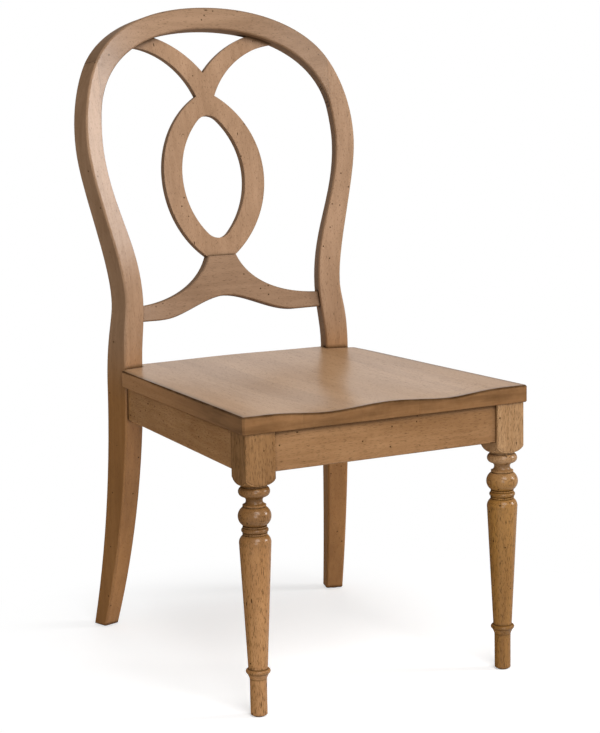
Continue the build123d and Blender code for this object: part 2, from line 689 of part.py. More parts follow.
with BuildPart() as seat:
    with BuildSketch(Plane.XY.offset(seat_underside)) as seat_plan:
        with BuildLine():
            p1 = Line((0, seat_front_y), (seat_front_half, seat_front_y))
            p2 = Polyline(p1 @ 1, rear_corner, (post_corner.X, post_corner.Y), tail_end)
            p3 = TangentArc((0, post_corner_y + seat_tail + seat_tail_bow), tail_end, tangent=(1, 0))
            mirror(about=Plane.YZ)
        make_face()
        ear_x = post_half_stance + seat_rear_overhang / 2
        ears = seat_plan.vertices().filter_by(lambda corner: abs(corner.X) > ear_x)
        fillet(ears.group_by(Axis.Y)[-1], seat_rear_radius)
    extrude(amount=seat_thickness * 2)
    for share, scoop, middle in saddle_stations:
        station_y = seat_front_y + share * seat_side_length
        with BuildSketch(Plane(origin=(0, station_y, seat_height), x_dir=(1, 0, 0), z_dir=(0, -1, 0))):
            with BuildLine():
                d1 = Spline(
                    (-saddle_rim, 0),
                    (-scoop_offset, -scoop),
                    (0, -middle),
                    (scoop_offset, -scoop),
                    (saddle_rim, 0),
                    tangents=((1, 0), (1, 0)),
                )
                d2 = Polyline(
                    d1 @ 1,
                    (saddle_rim * 2, 0),
                    (saddle_rim * 2, seat_thickness * 2),
                    (-saddle_rim * 2, seat_thickness * 2),
                    (-saddle_rim * 2, 0),
                    d1 @ 0,
                )
            make_face()
    loft(mode=Mode.SUBTRACT)
    chamfer(seat.edges().filter_by(Axis.Z).group_by(Axis.Y)[0], seat_corner_bevel)
    edge_faces = seat.faces().filter_by(lambda face: abs(face.normal_at().Z) < 0.5)
    rim_height = seat_height - seat_thickness / 3
    rim_edges = edge_faces.edges().filter_by(lambda edge: min((edge @ 0).Z, (edge @ 1).Z) > rim_height)
    chamfer(rim_edges, seat_edge_bevel)
    chamfer(seat.faces().sort_by(Axis.Z)[0].edges(), seat_under_bevel)
    add(post_notches.part, mode=Mode.SUBTRACT)

pieces = {
    "left_back_post": left_back_post.part,
    "right_back_post": right_back_post.part,
    "crest_arch": crest_arch.part,
    "back_splat": back_splat.part,
    "lower_back_rail": lower_back_rail.part,
    "left_front_leg": left_front_leg.part,
    "right_front_leg": right_front_leg.part,
    "front_apron": front_apron.part,
    "rear_apron": rear_apron.part,
    "left_apron": left_apron.part,
    "right_apron": right_apron.part,
}

board_width = seat_front_half * 2 / len(seat_board_names)
for place, name in enumerate(seat_board_names):
    board_x = (place + 0.5) * board_width - seat_front_half
    with BuildPart() as seat_board:
        add(seat.part)
        with BuildSketch(Plane(origin=(board_x, 0, seat_underside))):
            Rectangle(board_width, seat_side_length * 2)
        extrude(amount=seat_thickness, mode=Mode.INTERSECT)
    pieces[f"seat_board_{name}"] = seat_board.part

for end, block in zip(("front", "rear"), corner_blocks):
    with BuildPart() as left_block:
        mirror(block, about=Plane.YZ)
    pieces[f"right_{end}_corner_block"] = block
    pieces[f"left_{end}_corner_block"] = left_block.part

# Loose tenons in the seams between crest and posts
with BuildPart() as crest_tenons:
    with Locations(*mirrored([crest_joint])):
        Box(*crest_tenon)
pieces["crest_tenons"] = crest_tenons.part

# Glides under the feet
with BuildPart() as foot_glides:
    with Locations(*mirrored([leg_plane, post_glide])):
        Cylinder(glide_diameter / 2, glide_thickness, align=(Align.CENTER, Align.CENTER, Align.MIN))
pieces["foot_glides"] = foot_glides.part

os.makedirs("parts", exist_ok=True)
for name, piece in pieces.items():
    piece.label = name
    export_step(piece, f"parts/{name}.step")
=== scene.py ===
"""Side chair with an open balloon back: turned legs, stained wood, studio light and camera."""

import itertools
import logging
import math
from dataclasses import dataclass
from enum import Enum
from typing import Any, Dict, List, Optional, Tuple, Union

import bpy
import numpy as np
from mathutils import Matrix, Vector


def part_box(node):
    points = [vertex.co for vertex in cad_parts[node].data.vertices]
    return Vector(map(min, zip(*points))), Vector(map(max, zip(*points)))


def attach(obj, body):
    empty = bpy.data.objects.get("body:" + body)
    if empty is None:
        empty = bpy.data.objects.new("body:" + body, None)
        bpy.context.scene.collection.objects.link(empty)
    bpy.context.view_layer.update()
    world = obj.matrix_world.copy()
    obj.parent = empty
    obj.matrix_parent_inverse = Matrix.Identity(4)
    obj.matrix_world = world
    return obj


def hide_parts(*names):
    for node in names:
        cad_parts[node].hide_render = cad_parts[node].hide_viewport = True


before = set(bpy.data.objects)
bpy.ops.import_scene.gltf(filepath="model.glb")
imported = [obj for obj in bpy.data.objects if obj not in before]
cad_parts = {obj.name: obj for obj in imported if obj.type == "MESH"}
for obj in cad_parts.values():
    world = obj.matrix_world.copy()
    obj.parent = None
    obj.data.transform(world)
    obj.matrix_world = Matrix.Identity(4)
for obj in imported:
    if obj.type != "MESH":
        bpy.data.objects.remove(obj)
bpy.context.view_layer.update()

logging.basicConfig(level=logging.INFO, format="%(message)s")
log = logging.getLogger("side_chair")

Triple = Tuple[float, float, float]
Colour = Triple
Span = Tuple[float, float]
Point = Union[Span, np.ndarray]  # radius and height on a turning
Value = Union["Link", float]

WHITE: Colour = (1.0, 1.0, 1.0)
GROOVE = "groove"  # attribute of a turned piece: how deep a point lies in a groove
NOISE_MIDDLE = 0.5
BEVEL_SAMPLES = 6
REFRACTION = 1.5  # index of wood and lacquer
# Sockets of a Mix node that mixes colours
MIX_SHARE, MIX_FIRST, MIX_SECOND, MIX_RESULT = 0, 6, 7, 2


class Link:
    """A node socket that can be used in arithmetic; each operation adds one Math node."""

    def __init__(self, graph: "Graph", socket: Optional[bpy.types.NodeSocket]) -> None:
        """Wraps one output socket of a graph, or none for a node that ends it."""
        self.graph = graph
        self.socket = socket

    def _math(self, operation: str, *values: Value, clamp: bool = False) -> "Link":
        """Adds a Math node on these values."""
        settings = {"operation": operation, "use_clamp": clamp}
        return self.graph.node("ShaderNodeMath", settings, dict(enumerate(values)))

    def __add__(self, other: Value) -> "Link":
        """Sum."""
        return self._math("ADD", self, other)

    def __radd__(self, other: Value) -> "Link":
        """Sum with a number on the left."""
        return self._math("ADD", other, self)

    def __sub__(self, other: Value) -> "Link":
        """Difference."""
        return self._math("SUBTRACT", self, other)

    def __rsub__(self, other: Value) -> "Link":
        """Difference from a number on the left."""
        return self._math("SUBTRACT", other, self)

    def __mul__(self, other: Value) -> "Link":
        """Product."""
        return self._math("MULTIPLY", self, other)

    def __rmul__(self, other: Value) -> "Link":
        """Product with a number on the left."""
        return self._math("MULTIPLY", other, self)

    def clipped(self) -> "Link":
        """The value kept between 0 and 1."""
        return self._math("ADD", self, 0.0, clamp=True)

    def largest(self, other: Value) -> "Link":
        """The larger of two values."""
        return self._math("MAXIMUM", self, other)

    def size(self) -> "Link":
        """The value without its sign."""
        return self._math("ABSOLUTE", self)

    def power(self, exponent: float) -> "Link":
        """The value raised to a power."""
        return self._math("POWER", self, exponent)

    def step(self, start: float, end: float) -> "Link":
        """A smooth step of the value.

        Args:
            start: Where the step is 0.
            end: Where the step is 1, above or below the start.

        Returns:
            Three times t squared less twice t cubed, t being the part of the way from start to end.
        """
        settings = {"interpolation_type": "SMOOTHSTEP", "clamp": True}
        if start <= end:
            ends = {"From Min": start, "From Max": end, "To Min": 0.0, "To Max": 1.0}
        else:
            ends = {"From Min": end, "From Max": start, "To Min": 1.0, "To Max": 0.0}
        return self.graph.node("ShaderNodeMapRange", settings, {"Value": self, **ends}, output="Result")


class Graph:
    """The node tree of one material or world, built by calls instead of clicks."""

    def __init__(self, tree: bpy.types.NodeTree) -> None:
        """Starts from an empty tree."""
        self.tree = tree
        tree.nodes.clear()

    def node(
        self,
        kind: str,
        settings: Optional[Dict[str, Any]] = None,
        inputs: Optional[Dict[Union[str, int], Any]] = None,
        output: Union[str, int] = 0,
    ) -> Link:
        """Adds a node.

        Args:
            kind: The node's type.
            settings: Its properties, set before its sockets.
            inputs: Values or links of its sockets, by name or place.
            output: The output to return.

        Returns:
            The chosen output.
        """
        made = self.tree.nodes.new(kind)
        for name, value in (settings or {}).items():
            setattr(made, name, value)
        for name, value in (inputs or {}).items():
            socket = made.inputs[name]
            if isinstance(value, Link):
                self.tree.links.new(value.socket, socket)
            else:
                socket.default_value = value
        ends_here = len(made.outputs) == 0
        return Link(self, None if ends_here else made.outputs[output])

    def place(self) -> Link:
        """Object coordinates."""
        return self.node("ShaderNodeTexCoord", output="Object")

    def noise(self, place: Link, scale: float, detail: float, roughness: float) -> Link:
        """Noise with values from 0 to 1 on a place."""
        inputs = {"Vector": place, "Scale": scale, "Detail": detail, "Roughness": roughness}
        return self.node("ShaderNodeTexNoise", None, inputs, output="Fac")

    def stretched(self, place: Link, scale: Triple) -> Link:
        """A place with its three directions scaled."""
        settings = {"operation": "MULTIPLY"}
        return self.node("ShaderNodeVectorMath", settings, {0: place, 1: scale}, output="Vector")

    def parts(self, vector: Link) -> Tuple[Link, Link, Link]:
        """Takes a vector apart.

        Args:
            vector: A place or a direction.

        Returns:
            Its X, Y and Z.
        """
        across = self.node("ShaderNodeSeparateXYZ", None, {"Vector": vector}, output="X")
        others = across.socket.node.outputs
        return across, Link(self, others["Y"]), Link(self, others["Z"])

    def blend(self, share: Value, first: Any, second: Any, mode: str = "MIX") -> Link:
        """Mixes two colours.

        Args:
            share: How much the second colour counts, from 0 to 1.
            first: A colour or a link to one.
            second: A colour or a link to one.
            mode: How the second colour acts on the first.

        Returns:
            The mixed colour.
        """
        settings = {"data_type": "RGBA", "blend_type": mode}
        inputs = {MIX_SHARE: share, MIX_FIRST: first, MIX_SECOND: second}
        return self.node("ShaderNodeMix", settings, inputs, output=MIX_RESULT)

    def end_in_shader(self, inputs: Dict[Union[str, int], Any]) -> None:
        """Ends a material in one shader with these values and links."""
        shader = self.node("ShaderNodeBsdfPrincipled", None, inputs)
        self.node("ShaderNodeOutputMaterial", None, {"Surface": shader})


def new_material(name: str) -> Tuple[bpy.types.Material, Graph]:
    """Makes a material without nodes.

    Args:
        name: The material's name.

    Returns:
        The material and the graph of its nodes.
    """
    made = bpy.data.materials.new(name)
    made.use_nodes = True
    return made, Graph(made.node_tree)


def rgba(colour: Colour) -> Tuple[float, float, float, float]:
    """A colour with full opacity."""
    return (*colour, 1.0)


def toned(colour: Colour, tone: Colour) -> Colour:
    """A colour with its three parts scaled, none past 1."""
    return tuple(min(1.0, part * share) for part, share in zip(colour, tone))


def grey(level: float) -> Colour:
    """A colour with three equal parts, also an even change of tone."""
    return (level, level, level)


class Grain(Enum):
    """Direction in which the fibres of a piece run, as the turn that lays that direction along Z."""

    UPRIGHT = (0.0, 0.0, 0.0)
    ACROSS = (0.0, math.pi / 2, 0.0)
    FRONT_TO_BACK = (math.pi / 2, 0.0, 0.0)


@dataclass(frozen=True)
class Ground:
    """What a finish reads from the surface that it lies on.

    place is in Object coordinates, and fibre is the same with the fibres along Z. flat is the face's
    own normal, rounded the normal eased at the edges, and turned how far the two lean apart. cloud is
    a soft noise that makes the worn edges, the glaze, the painted shade and the painted highlights
    uneven.
    """

    graph: Graph
    place: Link
    fibre: Link
    flat: Link
    rounded: Link
    turned: Link
    cloud: Link


@dataclass(frozen=True)
class Layers:
    """The layers of a finish: its stain's colour, how much dark glaze and painted shade lies on it, and
    its lacquer.
    """

    stain: Link
    glaze: Link
    lacquer: Link


@dataclass(frozen=True)
class Streaks:
    """Noise from 0 to 1, drawn out along Z or level with it: a scale under 1 makes it longer that way."""

    scale: float
    along: float = 1.0
    across: float = 1.0
    detail: float = 2.0
    roughness: float = 0.5

    def on(self, graph: Graph, place: Link) -> Link:
        """The noise at a place."""
        drawn = graph.stretched(place, (self.across, self.across, self.along))
        return graph.noise(drawn, self.scale, self.detail, self.roughness)


@dataclass(frozen=True)
class Figure:
    """The wood's figure: a broad wave of tone, growth bands and fine threads, all along the fibres."""

    broad: Streaks = Streaks(18.0, along=0.20)
    bands: Streaks = Streaks(130.0, along=0.045, detail=3.0, roughness=0.6)
    threads: Streaks = Streaks(700.0, along=0.03, roughness=0.6)
    contrast: Span = (0.3, 0.7)
    base_tone: float = 0.10
    broad_tone: float = 0.40
    band_tone: float = 0.30
    thread_tone: float = 0.22

    def on(self, ground: Ground) -> Tuple[Link, Link, Link]:
        """Draws the figure.

        Args:
            ground: The surface.

        Returns:
            The tone, from 0 for dark to 1 for light wood, then the bands and the threads by themselves.
        """
        broad = self.broad.on(ground.graph, ground.fibre)
        bands = self.bands.on(ground.graph, ground.fibre)
        threads = self.threads.on(ground.graph, ground.fibre)
        tone = self.base_tone + self.broad_tone * broad.step(*self.contrast)
        tone = tone + self.band_tone * bands.step(*self.contrast) + self.thread_tone * threads
        return tone, bands, threads


@dataclass(frozen=True)
class Pores:
    """Open pores that hold glaze: short dashes along the fibres, where a fine noise passes a share."""

    depth: float = 0.50
    share: float = 0.60
    softness: float = 0.08
    dashes: Streaks = Streaks(1100.0, along=0.10)

    def on(self, ground: Ground) -> Link:
        """1 inside a pore, 0 outside."""
        field = self.dashes.on(ground.graph, ground.fibre)
        return field.step(self.share, self.share + self.softness)


@dataclass(frozen=True)
class AgeMarks:
    """Wormholes and short dents: the middles of small cells, where a broad noise passes a share."""

    depth: float = 0.95
    share: float = 0.47
    softness: float = 0.04
    cell_scale: float = 62.0
    hole_span: Span = (0.105, 0.070)
    hole_places: Streaks = Streaks(17.0, detail=1.0)
    dent_span: Span = (0.075, 0.045)
    dent_stretch: Triple = (1.0, 1.0, 0.28)
    dent_places: Streaks = Streaks(13.0, detail=1.0)
    dent_rarity: float = 0.03

    def on(self, ground: Ground) -> Link:
        """Picks some cells for holes and some longer ones for dents.

        Args:
            ground: The surface.

        Returns:
            A mask that is 1 inside a mark.
        """
        graph, place = ground.graph, ground.place
        dent_share = self.share + self.dent_rarity
        holes = self._cells(graph, place).step(*self.hole_span)
        dents = self._cells(graph, graph.stretched(ground.fibre, self.dent_stretch)).step(*self.dent_span)
        holed = self.hole_places.on(graph, place).step(self.share, self.share + self.softness)
        dented = self.dent_places.on(graph, place).step(dent_share, dent_share + self.softness)
        return (holes * holed).largest(dents * dented)

    def _cells(self, graph: Graph, place: Link) -> Link:
        """Distance of a place from the middle of its cell."""
        inputs = {"Vector": place, "Scale": self.cell_scale}
        return graph.node("ShaderNodeTexVoronoi", {"feature": "F1"}, inputs, output="Distance")


@dataclass(frozen=True)
class CreaseGlazeAndShade:
    """Corners, joints and turned grooves, darkened: glaze in the hollows, and painted shade where parts
    meet.
    """

    depth: float = 0.85
    reach: float = 0.011
    span: Span = (0.08, 0.48)
    samples: int = 8

    def on(self, ground: Ground) -> Link:
        """Finds the corners, joints and grooves to darken.

        Args:
            ground: The surface.

        Returns:
            1 deep in a corner or groove, 0 on an open face.
        """
        named = {"attribute_type": "GEOMETRY", "attribute_name": GROOVE}
        groove = ground.graph.node("ShaderNodeAttribute", named, output="Fac")
        settings = {"samples": self.samples}
        inputs = {"Distance": self.reach}
        # Ambient occlusion: painted shade where parts meet and under overhangs, as well as glaze in the
        # corners.
        open_sky = ground.graph.node("ShaderNodeAmbientOcclusion", settings, inputs, output="AO")
        return (1.0 - open_sky).step(*self.span).largest(groove)


@dataclass(frozen=True)
class Edges:
    """Lighter edges, partly worn stain and partly painted highlight, with a thin line of glaze and
    painted shade beside them, both by how far the normal turns.
    """

    radius: float = 0.0030
    wear_and_highlight: float = 0.75
    highlight_wear_span: Span = (0.020, 0.07)
    highlight_wear_least: float = 0.3
    highlight_wear_cloud: float = 0.9
    cloud_span: Span = (0.35, 0.7)
    # How much lighter the edge colour is: worn stain and painted highlight.
    worn_highlight_tone: float = 1.8
    # How dark the line beside the edge is: glaze and painted shade.
    glaze: float = 1.0
    line_start: Span = (0.002, 0.010)
    line_end: Span = (0.035, 0.012)
    line_least: float = 0.35
    line_cloud: float = 0.7

    def worn_and_highlit(self, ground: Ground) -> Link:
        """How much the edge is lightened: stain worn off, and a painted highlight."""
        patchy = self.highlight_wear_least + self.highlight_wear_cloud * ground.cloud.step(*self.cloud_span)
        return (ground.turned.step(*self.highlight_wear_span) * patchy * self.wear_and_highlight).clipped()

    def line(self, ground: Ground) -> Link:
        """How much glaze and painted shade lies beside the edge."""
        beside = ground.turned.step(*self.line_start) * ground.turned.step(*self.line_end)
        return beside * (self.line_least + self.line_cloud * ground.cloud) * self.glaze


@dataclass(frozen=True)
class Lacquer:
    """Satin lacquer, thinner over the glaze and painted shade, and on faces that look sideways."""

    weight: float = 0.46
    roughness: float = 0.25
    glaze_loss: float = 0.8
    side_loss: float = 0.85

    def over(self, glaze: Link, sideways: Link) -> Link:
        """The lacquer that is left over the glaze and painted shade, and on sideways faces."""
        return self.weight * (1.0 - self.glaze_loss * glaze.clipped()) * (1.0 - self.side_loss * sideways)


@dataclass(frozen=True)
class Relief:
    """Roughness and height that the layers give the surface; strength and distance are the bump's."""

    base_roughness: float = 0.45
    band_roughness: float = 0.10
    pore_roughness: float = 0.12
    crease_roughness: float = 0.25
    mark_roughness: float = 0.20
    thread_height: float = 0.30
    pore_depth: float = 0.55
    mark_depth: float = 1.2
    cloud_height: float = 0.35
    strength: float = 0.25
    distance: float = 0.0006


@dataclass(frozen=True)
class SeatRim:
    """The seat's outline in plan, and the glaze that stays on its rim, its sides and its upper edge."""

    front: float = -0.33538
    front_half: float = 0.254
    rear: float = 0.179
    rear_half: float = 0.2300
    reach: float = 0.020
    rim_power: float = 2.2
    rim_span: Span = (0.3, 0.8)
    rim_depth: float = 0.85
    rim_least: float = 0.40
    rim_cloud: float = 0.9
    side_span: Span = (0.8, 0.3)
    side_tint: Colour = (1.15, 1.02, 0.88)
    side_streaks: Streaks = Streaks(330.0, across=0.07, roughness=0.6)
    side_smudges: Streaks = Streaks(42.0, across=0.14, detail=3.0)
    smudge_span: Span = (0.35, 0.70)
    forward_span: Span = (0.05, -0.33)
    forward_depth: float = 0.38
    streak_depth: float = 0.18
    cloud_depth: float = 0.14
    smudge_depth: float = 0.26
    edge_radius: float = 0.0040
    edge_rise: Span = (0.04, 0.40)
    edge_fall: Span = (0.93, 0.85)
    edge_least: float = 0.65
    edge_cloud: float = 0.5
    edge_lacquer_loss: float = 0.9
    level_span: Span = (0.5, 0.95)
    side_lacquer: float = 0.08

    def darken(self, ground: Ground, layers: Layers) -> Layers:
        """Lays the glaze of the rim, the sides and the upper edge over a finish.

        Args:
            ground: The surface.
            layers: The finish so far.

        Returns:
            The finish with a darker rim and duller sides.
        """
        graph, cloud = ground.graph, ground.cloud
        upward = graph.parts(ground.flat)[2]
        sides = upward.step(*self.side_span)
        eased = graph.node("ShaderNodeBevel", {"samples": BEVEL_SAMPLES}, {"Radius": self.edge_radius})
        edge = graph.parts(eased)[2].step(*self.edge_rise) * upward.step(*self.edge_fall)
        edge = edge * (self.edge_least + self.edge_cloud * cloud)
        rim = self._near_edge(ground).power(self.rim_power) * upward.step(*self.rim_span)
        rim = rim * (self.rim_least + self.rim_cloud * cloud) * self.rim_depth
        level = self.side_lacquer + (1.0 - self.side_lacquer) * upward.step(*self.level_span)
        return Layers(
            graph.blend(sides, layers.stain, rgba(self.side_tint), "MULTIPLY"),
            layers.glaze.largest(rim).largest(sides * self._side_glaze(ground)).largest(edge),
            layers.lacquer * level * (1.0 - self.edge_lacquer_loss * edge.clipped()),
        )

    def _near_edge(self, ground: Ground) -> Link:
        """Finds the seat's front and side edges.

        Args:
            ground: The surface.

        Returns:
            1 at an edge, 0 one reach inside it.
        """
        across, along, _ = ground.graph.parts(ground.place)
        slope = (self.rear_half - self.front_half) / (self.rear - self.front)
        side = self.front_half + slope * (along - self.front) - across.size()
        front = along - self.front
        return side.step(self.reach, 0.0).largest(front.step(self.reach, 0.0))

    def _side_glaze(self, ground: Ground) -> Link:
        """Draws the glaze of the sides, heavier towards the front.

        Args:
            ground: The surface.

        Returns:
            How much glaze lies there: level streaks, clouds and smudges.
        """
        forward = ground.graph.parts(ground.place)[1].step(*self.forward_span)
        streaks = self.side_streaks.on(ground.graph, ground.place)
        smudges = self.side_smudges.on(ground.graph, ground.place).step(*self.smudge_span)
        even = self.forward_depth * forward + self.streak_depth * streaks
        return even + self.cloud_depth * ground.cloud + self.smudge_depth * smudges * forward


@dataclass(frozen=True)
class StainedWood:
    """Stained hardwood under a satin lacquer, with open pores, a dark glaze, small marks of age, painted
    shade and painted highlights.
    """

    name: str
    light: Colour
    dark: Colour
    grain: Grain
    shift: Triple
    tone: Colour
    figure: Figure = Figure()
    pores: Pores = Pores()
    marks: AgeMarks = AgeMarks()
    crease_glaze_and_shade: CreaseGlazeAndShade = CreaseGlazeAndShade()
    edges: Edges = Edges()
    lacquer: Lacquer = Lacquer()
    relief: Relief = Relief()
    clouds: Streaks = Streaks(38.0, detail=3.0, roughness=0.6)
    blotch: float = 0.25
    low_tint: Colour = WHITE
    low_span: Span = (0.62, 0.42)
    # Dark colour of the glaze in pores, marks and the seat's rim, also used as painted shade in corners,
    # on sideways faces and beside edges.
    glaze: Colour = (0.050, 0.022, 0.007)
    side_span: Span = (0.80, 0.40)
    # Painted shade: how much faces that look sideways, not to the front or back, are darkened with the
    # glaze colour.
    side_shade: float = 0.0
    side_least: float = 0.6
    side_cloud: float = 0.8
    rim: Optional[SeatRim] = None

    def material(self) -> bpy.types.Material:
        """Builds the material: stain, then glaze and painted shade over it, then lacquer.

        Returns:
            A material whose pattern follows Object coordinates, with the fibres along one direction.
        """
        made, graph = new_material(self.name)
        ground = self._ground(graph)
        figure, bands, threads = self.figure.on(ground)
        pores = self.pores.on(ground)
        marks = self.marks.on(ground)
        # crease: glaze in the hollows and painted shade where parts meet.
        crease = self.crease_glaze_and_shade.on(ground)
        sideways = graph.parts(ground.flat)[1].size().step(*self.side_span)

        # glaze: real glaze in pores and marks, with painted shade added below.
        glaze = (pores * self.pores.depth).largest(marks * self.marks.depth)
        glaze = glaze.largest(crease * self.crease_glaze_and_shade.depth).largest(self.edges.line(ground))
        # Painted shade on the sideways faces, uneven with the cloud.
        side_shade = (self.side_least + self.side_cloud * ground.cloud) * self.side_shade
        glaze = glaze.largest(sideways * side_shade)
        layers = Layers(self._stain(ground, figure), glaze, self.lacquer.over(glaze, sideways))
        if self.rim is not None:
            layers = self.rim.darken(ground, layers)

        relief = self.relief
        rough = relief.base_roughness + relief.band_roughness * bands + relief.pore_roughness * pores
        rough = rough + relief.crease_roughness * crease + relief.mark_roughness * marks
        height = relief.thread_height * threads - relief.pore_depth * pores
        height = height - relief.mark_depth * marks + relief.cloud_height * ground.cloud
        bump = {"Strength": relief.strength, "Distance": relief.distance}
        bump.update({"Height": height, "Normal": ground.rounded})
        graph.end_in_shader(
            {
                "Base Color": graph.blend(layers.glaze.clipped(), layers.stain, rgba(self.glaze)),
                "Roughness": rough.clipped(),
                "Normal": graph.node("ShaderNodeBump", None, bump),
                "IOR": REFRACTION,
                "Specular IOR Level": 0.0,
                "Coat Weight": layers.lacquer,
                "Coat Roughness": self.lacquer.roughness,
                "Coat IOR": REFRACTION,
            }
        )
        return made

    def _ground(self, graph: Graph) -> Ground:
        """Reads the surface.

        Args:
            graph: The material's nodes.

        Returns:
            Its coordinates and normals.
        """
        place = graph.place()
        inputs = {"Vector": place, "Location": self.shift, "Rotation": self.grain.value}
        fibre = graph.node("ShaderNodeMapping", {"vector_type": "POINT"}, inputs)
        flat = graph.node("ShaderNodeNewGeometry", output="True Normal")
        settings = {"samples": BEVEL_SAMPLES}
        rounded = graph.node("ShaderNodeBevel", settings, {"Radius": self.edges.radius})
        settings = {"operation": "DOT_PRODUCT"}
        facing = graph.node("ShaderNodeVectorMath", settings, {0: rounded, 1: flat}, output="Value")
        return Ground(graph, place, fibre, flat, rounded, 1.0 - facing, self.clouds.on(graph, place))

    def _stain(self, ground: Ground, figure: Link) -> Link:
        """Colours the wood.

        Args:
            ground: The surface.
            figure: From 0 for dark to 1 for light wood.

        Returns:
            The stain's colour, lighter at the edges as worn stain and painted highlight, and tinted low
            on the piece.
        """
        graph = ground.graph
        light, dark = toned(self.light, self.tone), toned(self.dark, self.tone)
        # Lighter colour at the edges: worn stain and a painted highlight.
        worn_and_highlit = toned(light, grey(self.edges.worn_highlight_tone))
        blotched = (figure + self.blotch * (ground.cloud - NOISE_MIDDLE)).clipped()
        stain = graph.blend(blotched, rgba(dark), rgba(light))
        stain = graph.blend(self.edges.worn_and_highlit(ground), stain, rgba(worn_and_highlit))
        low = graph.parts(ground.place)[2].step(*self.low_span)
        return graph.blend(low, stain, rgba(self.low_tint), "MULTIPLY")


@dataclass(frozen=True)
class RawWood:
    """Sawn wood without a finish, for the blocks inside the seat frame."""

    name: str
    light: Colour
    dark: Colour
    grain: Grain
    bands: Streaks = Streaks(150.0, along=0.06, detail=3.0, roughness=0.6)
    saw_lines: Streaks = Streaks(700.0, across=0.2, detail=1.0)
    contrast: Span = (0.3, 0.7)
    base_roughness: float = 0.72
    band_roughness: float = 0.2
    bump_strength: float = 0.4
    bump_distance: float = 0.0005

    def material(self) -> bpy.types.Material:
        """Builds the material.

        Returns:
            Banded wood with saw lines across its fibres.
        """
        made, graph = new_material(self.name)
        inputs = {"Vector": graph.place(), "Rotation": self.grain.value}
        fibre = graph.node("ShaderNodeMapping", None, inputs)
        bands = self.bands.on(graph, fibre)
        height = bands + self.saw_lines.on(graph, fibre)
        bump = {"Strength": self.bump_strength, "Distance": self.bump_distance, "Height": height}
        graph.end_in_shader(
            {
                "Base Color": graph.blend(bands.step(*self.contrast), rgba(self.dark), rgba(self.light)),
                "Roughness": self.base_roughness + self.band_roughness * bands,
                "Normal": graph.node("ShaderNodeBump", None, bump),
            }
        )
        return made


@dataclass(frozen=True)
class MouldedGlide:
    """Dark moulded plastic of the glides under the feet."""

    name: str
    colour: Colour = (0.035, 0.028, 0.022)
    speckle: Streaks = Streaks(1500.0)
    speckle_tone: float = 1.6
    base_roughness: float = 0.5
    speckle_roughness: float = 0.2
    bump_strength: float = 0.2
    bump_distance: float = 0.0002

    def material(self) -> bpy.types.Material:
        """Builds the material.

        Returns:
            Plastic with a fine moulded speckle.
        """
        made, graph = new_material(self.name)
        speckle = self.speckle.on(graph, graph.place())
        pale = toned(self.colour, grey(self.speckle_tone))
        bump = {"Strength": self.bump_strength, "Distance": self.bump_distance, "Height": speckle}
        graph.end_in_shader(
            {
                "Base Color": graph.blend(speckle, rgba(self.colour), rgba(pale)),
                "Roughness": self.base_roughness + self.speckle_roughness * speckle,
                "Normal": graph.node("ShaderNodeBump", None, bump),
            }
        )
        return made


def dress(node: str, material: bpy.types.Material) -> None:
    """Gives a carried-over node its finish.

    Args:
        node: The node's name.
        material: The finish.
    """
    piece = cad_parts[node]
    if not piece.material_slots:
        piece.data.materials.append(material)
    for slot in piece.material_slots:
        slot.link = "OBJECT"
        slot.material = material
    log.info("dressed %s with %s", node, material.name)


def grid_piece(
    name: str, points: np.ndarray, grooves: np.ndarray, material: bpy.types.Material, crease: float
) -> bpy.types.Object:
    """Makes a closed tube of rows of points, capped at both ends.

    Args:
        name: The piece's name.
        points: Rows by places by 3, each row a closed loop, anticlockwise seen from the last row.
        grooves: How deep each row lies in a groove, from 0 to 1.
        material: The finish.
        crease: Edges sharper than this angle, in radians, stay sharp.

    Returns:
        The piece, at the origin.
    """
    rows, places, _ = points.shape
    index = np.arange(rows * places).reshape(rows, places)
    after = np.roll(index, -1, axis=1)
    quads = np.stack([index[:-1], after[:-1], after[1:], index[1:]], axis=-1).reshape(-1, 4)
    first, last = rows * places, rows * places + 1
    corners = np.concatenate([points.reshape(-1, 3), points[[0, -1]].mean(axis=1)])
    low = np.stack([after[0], index[0], np.full(places, first)], axis=-1)
    high = np.stack([index[-1], after[-1], np.full(places, last)], axis=-1)
    mesh = bpy.data.meshes.new(name)
    mesh.from_pydata(corners.tolist(), [], quads.tolist() + low.tolist() + high.tolist())
    mesh.polygons.foreach_set("use_smooth", np.ones(len(mesh.polygons), dtype=bool))
    mesh.set_sharp_from_angle(angle=crease)
    depth = mesh.attributes.new(GROOVE, "FLOAT", "POINT")
    depth.data.foreach_set("value", np.concatenate([np.repeat(grooves, places), grooves[[0, -1]]]))
    mesh.materials.append(material)
    piece = bpy.data.objects.new(name, mesh)
    bpy.context.scene.collection.objects.link(piece)
    return piece


def round_through(start: Point, radius: float, end: Point, count: int) -> np.ndarray:
    """Arc of a turning from start to end, through a radius halfway along the axis.

    Args:
        start: Radius and height where the round begins.
        radius: Radius at the middle height.
        end: Radius and height where it ends.
        count: Number of points, the start left out.

    Returns:
        Radii and heights, count by 2: even angles on the circle through the three given points.
    """
    a, c = np.array(start), np.array(end)
    b = np.array([radius, (a[1] + c[1]) / 2])
    rows = 2 * np.array([b - a, c - a])
    centre = np.linalg.solve(rows, [b @ b - a @ a, c @ c - a @ a])
    angles = [math.atan2(*(p - centre)[::-1]) for p in (a, b, c)]
    turns = np.unwrap(angles)
    swept = np.linspace(turns[0], turns[2], count + 1)[1:]
    return centre + np.hypot(*(a - centre)) * np.stack([np.cos(swept), np.sin(swept)], axis=-1)


